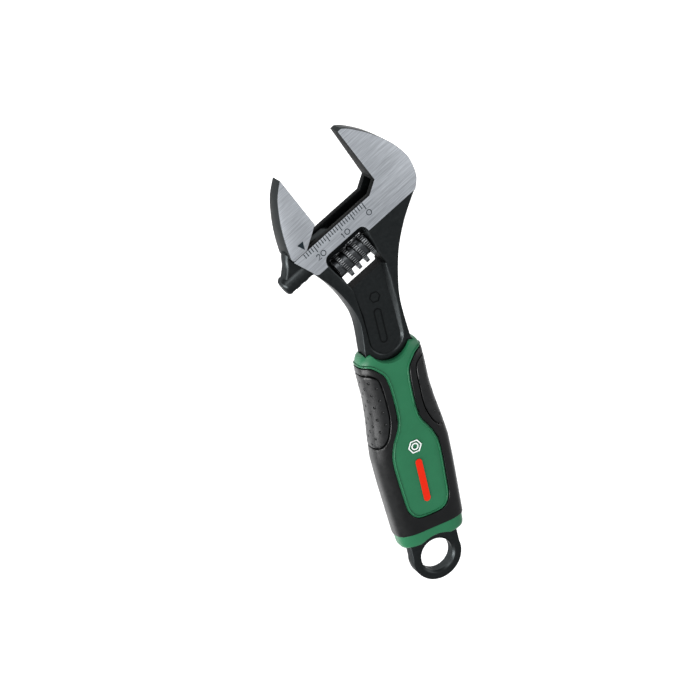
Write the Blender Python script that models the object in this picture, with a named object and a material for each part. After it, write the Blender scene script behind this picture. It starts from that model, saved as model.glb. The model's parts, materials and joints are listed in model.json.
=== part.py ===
"""Adjustable wrench with a 24 mm opening and a two-colour moulded grip.

The wrench lies on its back: +Z comes out of its front, +Y runs from the hanging ring to the jaws, and
+X is the side of the fixed jaw. The origin is the middle of the grip's flat back. Two frames are used,
both on the wrench's middle plane: the handle frame starts at the centre of the hanging ring, and the
head frame, turned by HEAD_TURN, starts where the scale on the head reads 0, with x as the closing
direction of the movable jaw and y towards the jaw tips. Lengths are in millimetres, and MM turns them
into metres.
"""

import math

import bmesh
import bpy
from mathutils import Matrix, Vector

MM = 0.001
GAP = 0.3  # clearance between pieces that touch on the real wrench
REACH = 12.0  # half height of a cutter that goes right through

# Frames
GRIP_HALF_DEPTH = 6.0
RING_TO_ORIGIN = 43.0
HEAD_PLACE = (1.75, 127.06)
HEAD_TURN = math.radians(22.5)

# Head and jaws, in the head frame
HEAD_HALF = 4.73
TAPER_FROM = 2.9
TAPER_TO = (23.0, 2.71)  # just past the tips
JAW_TIP = 22.1
FIXED_FACE = 7.5
OPENING = 23.1
MOVING_FACE = FIXED_FACE - OPENING
HEAD_LEFT = -28.05
GROUND_EDGE = -9.0  # lower edge of the ground face of the head

# Sliding rack below the movable jaw
RACK_AXIS = -6.3
RACK_RADIUS = 3.2
RACK_START = -34.9
RACK_END = -11.0
WEB_HALF = 2.3
WEB_TOP = -0.3
BORE_END = 13.2

# Worm and its pin
WORM_AXIS = -13.4
WORM_RADIUS = 5.2
WORM_ROOT = 3.4
PITCH = 3.22
THREAD_PHASE = -16.6  # a thread crest faces the rack here, in the head frame
THREAD_RUN = (-0.45, 4.0)  # first and last turn of the thread, counted from that crest
CREST_WIDTH = 1.1
GROOVE_WIDTH = 2.0
WINDOW = (-18.6, -4.9, -21.3)  # left, right and lower edge
PIN_RADIUS = 1.0
PIN_HEAD_RADIUS = 1.6
PIN_HEAD = (2.9, 7.2)
PIN_START = -21.3
SPRING_DEPTH = 4.0
SPRING_HOLE = 2.3
SPRING_RADIUS = 1.75
WIRE_RADIUS = 0.2
SPRING_TURNS = 4

# Neck and strap, in the handle frame
NECK_HALF = 4.45
COLLAR_HALF = 3.15
STRAP_HALF = 2.43
THICKNESS_STATIONS = ((71.0, STRAP_HALF), (79.0, COLLAR_HALF), (104.0, NECK_HALF))
RING_RADIUS = 8.85
RING_CLEARANCE = 0.35
HOLE_RADIUS = 5.76
HOLE_CHAMFER = 0.7
POCKET_FLOOR = 2.3
POCKET_CENTRE = 81.0

# Grip, in the handle frame
GRIP_SQUARENESS = 3.2
GRIP_SIDES = ((7.2, 11.2), (7.8, 11.8), (9.0, 12.15), (12, 12.3), (20, 12.7), (32, 13.3), (41, 13.5),
              (48, 12.8), (55, 11.8), (62, 11.2), (71, 11.4), (75.5, 11.1), (76.7, 10.6), (77.6, 9.7))
GRIP_DEPTHS = ((7.2, 5.1), (7.8, 5.5), (9.0, 5.8), (20, 6.2), (62, 6.2), (71, 5.7), (76.7, 5.05),
               (77.6, 4.6))
GRIP_STATIONS = (7.2, 7.8, 9, 12, 16, 20, 26, 32, 38, 43, 47, 51, 55, 62, 68, 72, 75.5, 76.7, 77.6)
BAND_TOP = 12.2
SCALLOP_RADIUS = 7.6
SLEEVE_INSET = 2.2
PAD_DEPTH = 0.9
COLLAR_PANEL_SIDE = ((15, 74.1), (9.2, 73.8), (6.1, 71.6), (4.1, 68.2), (3.5, 60), (4.0, 52),
                     (7.2, 45.6), (8.6, 39.5), (8.1, 27), (7.4, 21), (4.8, 17.8), (0, 17.2))
PAD_SIDE = ((15, 71.2), (10.5, 71.1), (8.2, 70.2), (6.8, 68.1), (6.4, 62), (6.5, 55), (8, 49.6),
            (9.6, 47.2), (11.5, 46.1), (15, 45.9))


# Outlines

def smooth(points, steps=3):
    """Points along a Catmull-Rom curve through the given ones."""
    ends = [points[0], *points, points[-1]]
    curve = []
    for before, start, end, after in zip(ends, ends[1:], ends[2:], ends[3:]):
        before, start, end, after = map(Vector, (before, start, end, after))
        for step in range(steps):
            t = step / steps
            pull = 2 * before - 5 * start + 4 * end - after
            twist = 3 * (start - end) + after - before
            curve.append(tuple(start + (end - before + pull * t + twist * t * t) * t / 2))
    return curve + [tuple(points[-1])]


def arc(centre, radius, start, end, steps):
    """Points on a circle from one angle in degrees to another."""
    turns = [math.radians(start + (end - start) * step / steps) for step in range(steps + 1)]
    return [(centre[0] + radius * math.cos(t), centre[1] + radius * math.sin(t)) for t in turns]


def mirrored(points):
    return [(-x, y) for x, y in reversed(points)]


def grown(outline, distance):
    """The outline moved outwards by a distance, corner by corner."""
    corners = [Vector(p) for p in outline]
    area = sum(a.x * b.y - b.x * a.y for a, b in zip(corners, corners[1:] + corners[:1]))
    outward = distance if area > 0 else -distance
    moved = []
    for before, here, after in zip(corners[-1:] + corners[:-1], corners, corners[1:] + corners[:1]):
        first, second = (here - before).normalized(), (after - here).normalized()
        normal = Vector((first.y + second.y, -first.x - second.x)).normalized()
        moved.append(tuple(here + normal * outward / max(0.5, normal.dot(Vector((first.y, -first.x))))))
    return moved


def from_head(x, y):
    """A point of the head frame, in the handle frame."""
    c, s = math.cos(HEAD_TURN), math.sin(HEAD_TURN)
    return HEAD_PLACE[0] + x * c - y * s, HEAD_PLACE[1] + x * s + y * c


def along(table, place):
    """Value at a place in a table of (place, value), straight between entries and level past the ends."""
    for (low, first), (high, second) in zip(table, table[1:]):
        if place <= high:
            share = max(0.0, (place - low) / (high - low))
            return first + (second - first) * share
    return table[-1][1]


# Making solids

def clear_scene():
    for obj in list(bpy.data.objects):
        bpy.data.objects.remove(obj)


def new_collection(name):
    collection = bpy.data.collections.new(name)
    bpy.context.scene.collection.children.link(collection)
    return collection


def finish_mesh(name, bm, frame):
    """An object in the parts collection, from a bmesh in millimetres, placed in a frame."""
    bmesh.ops.remove_doubles(bm, verts=bm.verts, dist=1e-4)
    bmesh.ops.recalc_face_normals(bm, faces=bm.faces)
    bmesh.ops.scale(bm, vec=(MM, MM, MM), verts=bm.verts)
    mesh = bpy.data.meshes.new(name)
    bm.to_mesh(mesh)
    bm.free()
    obj = bpy.data.objects.new(name, mesh)
    PARTS.objects.link(obj)
    obj.parent = frame
    return obj


def curve_bmesh(curve):
    """The solid of a closed 2D curve or of a bevelled one, as a bmesh in millimetres."""
    guide = bpy.data.objects.new(curve.name, curve)
    PARTS.objects.link(guide)
    bpy.context.view_layer.update()
    mesh = bpy.data.meshes.new_from_object(guide.evaluated_get(bpy.context.evaluated_depsgraph_get()))
    bpy.data.objects.remove(guide)
    bm = bmesh.new()
    bm.from_mesh(mesh)
    bpy.data.meshes.remove(mesh)
    return bm


def plate(name, outline, frame, low, high):
    """A flat outline with straight sides, between two heights."""
    curve = bpy.data.curves.new(name, "CURVE")
    curve.dimensions = "2D"
    curve.fill_mode = "BOTH"
    curve.extrude = (high - low) / 2
    spline = curve.splines.new("POLY")
    spline.points.add(len(outline) - 1)
    spline.use_cyclic_u = True
    for point, (x, y) in zip(spline.points, outline):
        point.co = (x, y, 0, 1)
    bm = curve_bmesh(curve)
    bmesh.ops.translate(bm, vec=(0, 0, (high + low) / 2), verts=bm.verts)
    return finish_mesh(name, bm, frame)


def box(name, frame, xs, ys, zs):
    bm = bmesh.new()
    bmesh.ops.create_cube(bm, size=1)
    bmesh.ops.scale(bm, vec=[high - low for low, high in (xs, ys, zs)], verts=bm.verts)
    bmesh.ops.translate(bm, vec=[(low + high) / 2 for low, high in (xs, ys, zs)], verts=bm.verts)
    return finish_mesh(name, bm, frame)


def rod(name, frame, radius, xs, y=0.0, segments=24, tip=0.0):
    """A round bar along x, with an optional chamfer at its ends."""
    bm = bmesh.new()
    middle = Matrix.Translation(((xs[0] + xs[1]) / 2, y, 0))
    bmesh.ops.create_cone(bm, cap_ends=True, segments=segments, radius1=radius, radius2=radius,
                          depth=xs[1] - xs[0], matrix=middle @ Matrix.Rotation(math.pi / 2, 4, "Y"))
    if tip:
        rims = [e for e in bm.edges if abs(e.verts[0].co.x - e.verts[1].co.x) < 1e-6]
        bmesh.ops.bevel(bm, geom=rims, offset=tip, segments=1, affect="EDGES")
    return finish_mesh(name, bm, frame)


def loft(name, frame, sections):
    """A closed solid through rings of points that all have the same count."""
    bm = bmesh.new()
    rings = [[bm.verts.new(point) for point in ring] for ring in sections]
    for lower, upper in zip(rings, rings[1:]):
        for i in range(len(lower)):
            j = (i + 1) % len(lower)
            bm.faces.new((lower[i], lower[j], upper[j], upper[i]))
    bm.faces.new(rings[0])
    bm.faces.new(rings[-1])
    return finish_mesh(name, bm, frame)


def combine(target, operation, *others):
    """Boolean modifiers on target, one for each helper, which leaves the parts collection."""
    for other in others:
        modifier = target.modifiers.new(other.name, "BOOLEAN")
        modifier.operation = operation
        modifier.object = other
        other.hide_render = True
        other.display_type = "WIRE"
        if other.name in PARTS.objects:
            PARTS.objects.unlink(other)
            CUTTERS.objects.link(other)
    return target


def shape_thickness(obj, stations, full):
    """Scales a plate's height so that its half thickness follows a table of (y, half thickness)."""
    bm = bmesh.new()
    bm.from_mesh(obj.data)
    for y, _ in stations:
        geometry = bm.verts[:] + bm.edges[:] + bm.faces[:]
        bmesh.ops.bisect_plane(bm, geom=geometry, plane_co=(0, y * MM, 0), plane_no=(0, 1, 0))
    for vertex in bm.verts:
        vertex.co.z *= along(stations, vertex.co.y / MM) / full
    bm.to_mesh(obj.data)
    bm.free()
    return obj


def finish_look(obj, name, colour, metallic, roughness):
    material = bpy.data.materials.new(name)
    material.use_nodes = True
    shader = material.node_tree.nodes["Principled BSDF"]
    shader.inputs["Base Color"].default_value = (*colour, 1)
    shader.inputs["Metallic"].default_value = metallic
    shader.inputs["Roughness"].default_value = roughness
    obj.data.materials.append(material)
    obj.data.shade_smooth()
    obj.data.set_sharp_from_angle(angle=math.radians(30))


# Body

JAW_TAPER = ((TAPER_FROM, HEAD_HALF), TAPER_TO)


def head_outline():
    """Fixed jaw, throat floor and head down to the lower edge of the ground face."""
    jaw_back = [(9.0, JAW_TIP), (11.2, 20.15), (15.2, 14.85), (18.5, 8.5), (20.15, 2.5), (20.05, -1.5),
                (18.8, -5.9), (16.1, GROUND_EDGE)]
    heel = [(-23.9, GROUND_EDGE), (-24.8, -8.4), (-25.45, -6.7)]
    throat = [(HEAD_LEFT, 0), (3.3, 0), (FIXED_FACE, TAPER_FROM), (FIXED_FACE, JAW_TIP)]
    return [*throat, *smooth(jaw_back, 2), *heel]


def strap_outline():
    """Hanging ring, strap inside the grip, neck, and the part of the head below the ground face."""
    neck_right = [(8.25, 77), (7.35, 90), (8.0, 97.9), (10.3, 107.6), (14.4, 116.5), (20.0, 124.9)]
    neck_left = [(-19.2, 111.1), (-13.2, 103.3), (-9.4, 95.9), (-7.55, 88.5), (-8.35, 77)]
    right = [(8.65, 11), (7.4, 13), (7.4, 71.5), (8.35, 75)]
    ring = arc((0, 0), RING_RADIUS, 168, 372, 20)
    under_face = [from_head(15.3, -6.5), from_head(-24.2, -6.5)]
    return ring + right + smooth(neck_right) + under_face + smooth(neck_left) + mirrored(right)


def strap(name, clearance=0.0):
    outline = grown(strap_outline(), clearance) if clearance else strap_outline()
    solid = plate(name, outline, HANDLE, -NECK_HALF, NECK_HALF)
    stations = [(y, half + clearance) for y, half in THICKNESS_STATIONS]
    return shape_thickness(solid, stations, NECK_HALF)


def pocket(name, side):
    """The sunk panel of the neck, whose walls lean outwards."""
    left, right, low = WINDOW
    floor = [(4.7, 97), (5.1, 90), *arc((0, POCKET_CENTRE), 5.3, 0, -180, 8), (-5.4, 90)]
    rim = grown(floor, 1.8)
    floor += [from_head(left + 0.6, low + 1), from_head(right - 0.6, low + 1)]
    rim[0] = (6.1, 97)
    rim[-1] = (-7.0, 90)
    rim += [from_head(left + 0.02, low + 1), from_head(right - 0.02, low + 1)]
    return loft(name, HANDLE, [[(x, y, side * POCKET_FLOOR) for x, y in floor],
                               [(x, y, side * (POCKET_FLOOR + 2.4)) for x, y in rim]])


def scoop(name, side):
    """The hollow above and beside the window that lets a thumb reach the worm."""
    left, right, low = WINDOW
    low += 0.4
    outer = [(left + 0.1, low), (left - 1.6, -8.6), (left - 1.2, -6.9), (left + 0.6, -5.95),
             (right - 0.3, -5.95), (right + 1.0, -6.9), (right + 1.4, -8.6), (right - 0.1, low)]
    inner = [(left + 0.2, low), (left + 0.1, -9.5), (left + 0.1, -9.0), (left + 0.4, -8.7),
             (right - 0.4, -8.7), (right - 0.1, -9.0), (right - 0.1, -9.5), (right - 0.2, low)]
    past = [tuple(Vector(o) + 0.05 * (Vector(o) - Vector(i))) for o, i in zip(outer, inner)]
    return loft(name, HEAD, [[(x, y, side * 2.5) for x, y in inner],
                             [(x, y, side * (HEAD_HALF + 0.1)) for x, y in past]])


def slot_outline():
    """Side view of the slot that guides the web of the movable jaw."""
    floor = [(BORE_END - 0.4, RACK_AXIS), (12.2, -2.5), (10.2, 0.6), (7.3, 2.65), (3.0, 6)]
    return [(-40, RACK_AXIS), *floor, (-40, 6)]


def edge_on(outline, half, name):
    """A plate cutter in the head frame, between -half and half."""
    return plate(name, outline, HEAD, -half, half)


def make_body():
    head = plate("ground_head", head_outline(), HEAD, -HEAD_HALF, HEAD_HALF)
    shape_thickness(head, JAW_TAPER, HEAD_HALF)
    body = combine(strap("body"), "UNION", head)
    left, right, low = WINDOW
    cutters = [
        box("window", HEAD, (left, right), (low, -9.3), (-REACH, REACH)),
        scoop("front_scoop", 1),
        scoop("back_scoop", -1),
        pocket("front_pocket", 1),
        pocket("back_pocket", -1),
        rod("rack_bore", HEAD, RACK_RADIUS + GAP, (-40, BORE_END), RACK_AXIS),
        edge_on(slot_outline(), WEB_HALF + GAP, "web_slot"),
        rod("worm_room", HEAD, WORM_RADIUS + GAP, (left + 0.001, right - 0.001), WORM_AXIS, 40),
        rod("pin_hole", HEAD, PIN_RADIUS + GAP, (PIN_START - GAP, 5), WORM_AXIS, 16),
        rod("pin_head_hole", HEAD, PIN_HEAD_RADIUS + GAP, (PIN_HEAD[0] - GAP, 14), WORM_AXIS, 20),
        hanging_hole(),
    ]
    return combine(body, "DIFFERENCE", *cutters)


def hanging_hole():
    """The hole of the ring, turned from its profile with a chamfer at both faces."""
    mouth = HOLE_RADIUS + HOLE_CHAMFER + 0.5
    level = STRAP_HALF - HOLE_CHAMFER
    profile = [(mouth, STRAP_HALF + 0.5), (HOLE_RADIUS, level), (HOLE_RADIUS, -level),
               (mouth, -STRAP_HALF - 0.5)]
    rings = [[(x, y, height) for x, y in arc((0, 0), radius, 0, 350, 35)] for radius, height in profile]
    return loft("hanging_hole", HANDLE, rings)


# Movable jaw

def make_movable_jaw():
    """Jaw plate, web and round rack in one forging."""
    back = [(MOVING_FACE - 0.4, 22.3), (-19.84, 18.5), (-23.1, 13.35), (-25.9, 7.65), (-27.8, 2.8),
            (-28.7, GAP)]
    jaw = [(-22.3, GAP), (MOVING_FACE, 4.7), (MOVING_FACE, 22.4), *smooth(back)]
    solid = plate("movable_jaw", jaw, HEAD, -HEAD_HALF, HEAD_HALF)
    shape_thickness(solid, JAW_TAPER, HEAD_HALF)
    web = [(-28.3, 1.2), (-28.9, -0.6), (-30.4, -2.1), (-32.1, -3.6), (-33.5, -4.7), (-34.2, RACK_AXIS),
           (RACK_END - 0.3, RACK_AXIS), (-11.5, -3), (-12.5, -1.1), (-14, WEB_TOP), (-21.6, WEB_TOP),
           (-22, 1.2)]
    rack = rod("rack", HEAD, RACK_RADIUS, (RACK_START, RACK_END), RACK_AXIS, 24, tip=0.8)
    combine(solid, "UNION", edge_on(web, WEB_HALF, "web"), rack)
    combine(solid, "DIFFERENCE", rack_grooves())
    return on_axis(solid, SLIDE)


def rack_grooves():
    """One cutter with a slanted groove for each thread turn that can meet the rack, as deep as the worm reaches."""
    bm = bmesh.new()
    slant = math.atan(PITCH / (2 * math.pi * (WORM_RADIUS + WORM_ROOT) / 2))
    for turn in range(-5, 2):
        place = Matrix.Translation((THREAD_PHASE + turn * PITCH, RACK_AXIS - RACK_RADIUS, 0))
        size = Matrix.Diagonal((GROOVE_WIDTH, 2 * RACK_RADIUS, 2 * REACH, 1))
        bmesh.ops.create_cube(bm, size=1, matrix=place @ Matrix.Rotation(slant, 4, "Y") @ size)
    reach = rod("worm_reach", HEAD, WORM_RADIUS + GAP, (RACK_START - 1, RACK_END + 1), WORM_AXIS, 64)
    return combine(finish_mesh("rack_grooves", bm, HEAD), "INTERSECT", reach)


# Worm, pin and spring, on the worm's axis

WORM_ENDS = (WINDOW[0] + GAP, WINDOW[1] - GAP)


def helix(start, end, pitch, per_turn, zero):
    """Steps along a right-hand helix about x: (x, angle) for each, with angle 0 at x = zero."""
    count = round((end - start) / pitch * per_turn)
    places = [start + (end - start) * step / count for step in range(count + 1)]
    return [(x, 2 * math.pi * (x - zero) / pitch) for x in places]


def make_worm():
    """Threaded roller: a core with one ridge wound round it."""
    core = rod("worm_screw", WORM, WORM_ROOT, (WORM_ENDS[0] - 1, WORM_ENDS[1] + 1), segments=28)
    half_root = CREST_WIDTH / 2 + 0.28
    profile = ((-half_root, WORM_ROOT - 0.3), (-CREST_WIDTH / 2, WORM_RADIUS),
               (CREST_WIDTH / 2, WORM_RADIUS), (half_root, WORM_ROOT - 0.3))
    steps = helix(THREAD_PHASE + THREAD_RUN[0] * PITCH, THREAD_PHASE + THREAD_RUN[1] * PITCH, PITCH, 24,
                  THREAD_PHASE)
    rings = [[(x + dx, r * math.cos(turn), r * math.sin(turn)) for dx, r in profile] for x, turn in steps]
    combine(core, "UNION", loft("worm_thread", WORM, rings))
    combine(core, "INTERSECT", rod("worm_blank", WORM, WORM_RADIUS + 0.5, WORM_ENDS, segments=12))
    combine(core, "DIFFERENCE", rod("worm_hole", WORM, PIN_RADIUS + GAP, (-30, 0), segments=16),
            rod("spring_hole", WORM, SPRING_HOLE, (WORM_ENDS[1] - SPRING_DEPTH, 0), segments=20))
    return core


def make_pin():
    """Stepped pin that enters from the fixed-jaw side, with a screwdriver slot in its head."""
    pin = rod("worm_pin", WORM, PIN_RADIUS, (PIN_START, PIN_HEAD[0] + 1), segments=16)
    combine(pin, "UNION", rod("pin_head", WORM, PIN_HEAD_RADIUS, PIN_HEAD, segments=20))
    slot = box("pin_slot", WORM, (PIN_HEAD[1] - 0.8, PIN_HEAD[1] + 1), (-0.25, 0.25), (-3, 3))
    return combine(pin, "DIFFERENCE", slot)


def make_spring():
    """Coil spring round the pin that keeps the worm against one end of its window."""
    curve = bpy.data.curves.new("worm_spring", "CURVE")
    curve.dimensions = "3D"
    curve.bevel_depth = WIRE_RADIUS
    curve.bevel_resolution = 2
    curve.use_fill_caps = True
    ends = (WORM_ENDS[1] - SPRING_DEPTH + GAP + WIRE_RADIUS, WINDOW[1] - GAP - WIRE_RADIUS)
    path = helix(*ends, (ends[1] - ends[0]) / SPRING_TURNS, 12, ends[0])
    spline = curve.splines.new("POLY")
    spline.points.add(len(path) - 1)
    for point, (x, turn) in zip(spline.points, path):
        point.co = (x, SPRING_RADIUS * math.cos(turn), SPRING_RADIUS * math.sin(turn), 1)
    return finish_mesh("worm_spring", curve_bmesh(curve), WORM)


# Grip

def grip_envelope(name, inset=0.0, sides=32):
    """The outer shape of the grip, or that shape with its surface moved inwards."""
    rings = []
    for y in GRIP_STATIONS:
        width = along(GRIP_SIDES, y) - inset
        crown = along(GRIP_DEPTHS, y) - inset
        flat = min(GRIP_HALF_DEPTH, along(GRIP_DEPTHS, y)) - inset
        ring = []
        for side in range(sides):
            turn = 2 * math.pi * (side + 0.5) / sides
            c, s = math.cos(turn), math.sin(turn)
            x = math.copysign(width * abs(c) ** (2 / GRIP_SQUARENESS), c)
            z = math.copysign(min(crown * abs(s) ** (2 / GRIP_SQUARENESS), flat), s)
            ring.append((x, y, z))
        rings.append(ring)
    return loft(name, HANDLE, rings)


def through(name, outline, clearance=0.0):
    """A cutter right through the grip, grown by a clearance."""
    return plate(name, grown(outline, clearance) if clearance else outline, HANDLE, -REACH, REACH)


def collar_panel_outline():
    side = smooth(COLLAR_PANEL_SIDE, 2)
    return [(15, 85), *side, *mirrored(side)[1:], (-15, 85)]


def band_outline():
    return [(-15, BAND_TOP), (-15, 0), (15, 0), (15, BAND_TOP)]


def pad_outline(side):
    return [(side * x, y) for x, y in smooth(PAD_SIDE, 2)]


def make_grip_core():
    """Hard moulding on the strap: collar, both panels, band round the ring end, and the sleeve inside."""
    core = grip_envelope("grip_core")
    coloured = through("collar_and_panels", collar_panel_outline())
    combine(coloured, "UNION", through("ring_band", band_outline()))
    combine(core, "INTERSECT", coloured)
    combine(core, "UNION", grip_sleeve("core_sleeve", SLEEVE_INSET))
    ring_room = through("ring_room", arc((0, 0), RING_RADIUS + RING_CLEARANCE, 0, 350, 35))
    scallop = through("collar_scallop", arc((0, POCKET_CENTRE), SCALLOP_RADIUS, 0, 345, 23))
    return combine(core, "DIFFERENCE", strap("strap_room", GAP), ring_room, scallop)


def grip_sleeve(name, inset):
    """The inner shape of the grip, a little shorter than its outside."""
    length = box(name + "_length", HANDLE, (-15, 15), (10, 75), (-REACH, REACH))
    return combine(grip_envelope(name, inset), "INTERSECT", length)


def make_overmould():
    """Soft rubber skin round the sides of the core, with a recess for each pad."""
    skin = grip_envelope("grip_overmould")
    combine(skin, "DIFFERENCE", grip_sleeve("skin_room", SLEEVE_INSET - GAP),
            through("collar_and_panels_room", collar_panel_outline(), GAP),
            through("ring_band_room", band_outline(), GAP))
    for side, word in ((-1, "left"), (1, "right")):
        recess = through("recess_" + word, pad_outline(side), GAP)
        combine(recess, "DIFFERENCE", grip_envelope("recess_floor_" + word, PAD_DEPTH + GAP))
        combine(skin, "DIFFERENCE", recess)
    return skin


def make_pad(name, side):
    """Dimpled gripping pad that wraps round one side of the grip."""
    pad = grip_envelope(name)
    combine(pad, "INTERSECT", through(name + "_outline", pad_outline(side)))
    return combine(pad, "DIFFERENCE", grip_envelope(name + "_floor", PAD_DEPTH))


# Frames and assembly

def new_frame(name, parent, place, turn=0.0):
    """An empty that the parts of one frame hang from."""
    frame = bpy.data.objects.new(name, None)
    PARTS.objects.link(frame)
    frame.parent = parent
    frame.location = [value * MM for value in place]
    frame.rotation_euler.z = turn
    return frame


def on_axis(obj, axis):
    """Hangs a head-frame object from the empty on its joint's axis, without moving it."""
    obj.parent = axis
    obj.location = -axis.location
    return obj


def main():
    steel_black = (0.028, 0.031, 0.034)
    finish_look(make_body(), "black_steel", steel_black, 0.8, 0.45)
    finish_look(make_movable_jaw(), "ground_steel", (0.38, 0.39, 0.42), 1.0, 0.35)
    finish_look(make_worm(), "bright_steel", (0.45, 0.46, 0.48), 1.0, 0.3)
    finish_look(make_pin(), "pin_steel", (0.3, 0.3, 0.32), 1.0, 0.35)
    finish_look(make_spring(), "spring_steel", (0.25, 0.25, 0.27), 1.0, 0.35)
    finish_look(make_grip_core(), "green_plastic", (0.04, 0.22, 0.1), 0.0, 0.4)
    finish_look(make_overmould(), "black_rubber", (0.013, 0.014, 0.016), 0.0, 0.6)
    for name, side in (("left_pad", -1), ("right_pad", 1)):
        finish_look(make_pad(name, side), name + "_rubber", (0.03, 0.033, 0.035), 0.0, 0.5)


clear_scene()
PARTS = new_collection("adjustable_wrench")
CUTTERS = new_collection("cutters")
HANDLE = new_frame("handle_frame", None, (0, -RING_TO_ORIGIN, GRIP_HALF_DEPTH))
HEAD = new_frame("head_frame", HANDLE, (*HEAD_PLACE, 0), HEAD_TURN)
SLIDE = new_frame("slide_axis", HEAD, (0, RACK_AXIS, 0))
WORM = new_frame("worm_axis", HEAD, (0, WORM_AXIS, 0))
main()
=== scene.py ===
"""Looks of an adjustable wrench with a worm-driven jaw and a two-colour moulded grip.

Every outline is in millimetres, in one of two frames on the wrench's middle plane. The handle frame starts
at the centre of the hanging ring. The head frame starts where the scale reads 0, with x along the jaw's
slide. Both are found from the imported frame. A finished piece is turned into metres.
"""

import json
import math

import bmesh
import bpy
from mathutils import Matrix, Vector


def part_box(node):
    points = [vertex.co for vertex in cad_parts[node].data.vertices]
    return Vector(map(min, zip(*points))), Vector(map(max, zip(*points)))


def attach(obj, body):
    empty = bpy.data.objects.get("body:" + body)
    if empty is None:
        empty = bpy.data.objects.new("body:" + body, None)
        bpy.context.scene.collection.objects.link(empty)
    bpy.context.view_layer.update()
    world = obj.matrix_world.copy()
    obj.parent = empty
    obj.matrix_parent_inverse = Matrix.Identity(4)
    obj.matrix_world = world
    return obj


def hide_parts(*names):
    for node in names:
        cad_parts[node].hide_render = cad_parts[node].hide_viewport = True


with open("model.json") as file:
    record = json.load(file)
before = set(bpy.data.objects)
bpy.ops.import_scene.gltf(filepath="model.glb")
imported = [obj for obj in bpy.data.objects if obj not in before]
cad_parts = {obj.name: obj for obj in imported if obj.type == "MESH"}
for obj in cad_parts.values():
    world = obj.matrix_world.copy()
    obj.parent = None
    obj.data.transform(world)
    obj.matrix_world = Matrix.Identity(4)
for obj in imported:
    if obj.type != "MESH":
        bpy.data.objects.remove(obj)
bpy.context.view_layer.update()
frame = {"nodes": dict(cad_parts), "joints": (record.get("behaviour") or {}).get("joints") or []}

MM = 0.001
GAP = 0.3
REACH = 12.0
FLAT = 0.985
FACING = 0.9
UPRIGHT = 0.8
NEAR = 0.06
PAST_SHARE = 0.05

# Head and jaws, in the head frame. WINDOW holds its left, right and low edges
HEAD_HALF = 4.73
JAW_TAPER = ((2.9, HEAD_HALF), (23.0, 2.71))
JAW_TIP = 22.1
FIXED_FACE = 7.5
MOVING_FACE = -15.6
HEAD_LEFT = -28.05
GROUND_EDGE = -9.0
FACE_FOOT = -6.5
RACK_AXIS = -6.3
RACK_RADIUS = 3.2
RACK_ENDS = (-34.9, -11.0)
WEB_HALF = 2.3
WEB_TOP = -0.3
BORE_END = 13.2
WORM_AXIS = -13.4
WORM_RADIUS = 5.2
WORM_ROOT = 3.4
PITCH = 3.22
THREAD_PHASE = -16.6
THREAD_RUN = (-0.45, 4.0)
CREST_WIDTH = 1.35
GROOVE_WIDTH = 2.0
WINDOW = (-18.6, -4.9, -21.3)
PIN_RADIUS = 1.0
PIN_HEAD_RADIUS = 1.6
PIN_ENDS = (-21.3, 2.9)
SPRING_HOLE = 2.3
SPRING_DEPTH = 4.0

# Neck, ring and grip, in the handle frame. GRIP_SIDES and GRIP_DEPTHS hold (place, half width) pairs
NECK_HALF = 4.45
STRAP_HALF = 2.43
THICKNESS_STATIONS = ((71.0, STRAP_HALF), (79.0, 3.15), (104.0, NECK_HALF))
RING_RADIUS = 8.85
RING_CLEARANCE = 0.35
HOLE_RADIUS = 5.76
HOLE_CHAMFER = 0.7
POCKET_FLOOR = 2.3
POCKET_CENTRE = 81.0
POCKET_HEIGHT = 2.4
GRIP_HALF_DEPTH = 6.0
GRIP_SQUARENESS = 3.2
GRIP_SIDES = ((7.2, 10.6), (7.35, 11.25), (7.7, 11.7), (8.3, 12.0), (9.0, 12.15), (12, 12.3), (20, 12.7),
              (32, 13.3), (41, 13.5), (48, 12.8), (55, 11.8), (62, 11.2), (71, 11.4), (74.8, 11.25),
              (76.0, 10.95), (76.9, 10.45), (77.4, 9.9), (77.6, 9.3))
GRIP_DEPTHS = ((7.2, 4.6), (7.35, 5.1), (7.7, 5.45), (8.3, 5.7), (9.0, 5.85), (12, 6.2), (62, 6.2),
               (71, 5.75), (76.0, 5.2), (76.9, 5.0), (77.4, 4.7), (77.6, 4.4))
ROUND_ENDS = (10, 74)
OUTSIDE = 15
BAND_TOP = 12.2
SCALLOP_RADIUS = 7.6
SLEEVE_INSET = 2.2
PAD_DEPTH = 0.9
COLLAR_PANEL_SIDE = ((15, 74.1), (9.2, 73.8), (6.1, 71.6), (4.1, 68.2), (3.5, 60), (4.0, 52), (7.2, 45.6),
                     (8.6, 39.5), (8.1, 27), (7.4, 21), (4.8, 17.8), (0, 17.2))
PAD_SIDE = ((15, 71.2), (10.5, 71.1), (8.2, 70.2), (6.8, 68.1), (6.4, 62), (6.5, 55), (8, 49.6), (9.6, 47.2),
            (11.5, 46.1), (15, 45.9))

# Fine shapes that only the looks have
GROUND_ROUNDING = 0.1
FORGED_ROUNDING = 0.35
WEB_ROUNDING = 1.2
JAW_CLEARANCE = 0.1
RACK_TIP = 0.8
SHARP = math.radians(28)
WALL = 0.01
SCALLOP_SLOPE = 1.1
SCALLOP_FOOT = 4.3
SIDE_BAND = 1.5
LIP_WIDTH = 0.45
LIP_GROOVE = 0.34
LIP_DEPTH = 0.42
CORE_ROUNDING = 0.16
SKIN_ROUNDING = 0.25
PAD_ROUNDING = 0.3
PAD_GAP = 0.42
PIT_RADIUS = 0.56
PIT_LIFT = 0.22
PIT_SPACING = 4.3
PIT_TOP_ROW = 68.8
PIT_ROWS = 11
PIT_START = 1.3
PIT_MARGIN = 1.1
FINE_SIDES = 720
KNURLS = 46
KNURL_DEPTH = 0.32
MARK_HEIGHT = 0.02
MARK_DEPTH = 0.1
TICKS = 25
TICK_WIDTH = 0.28
TICK_TOP = -0.2
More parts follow.
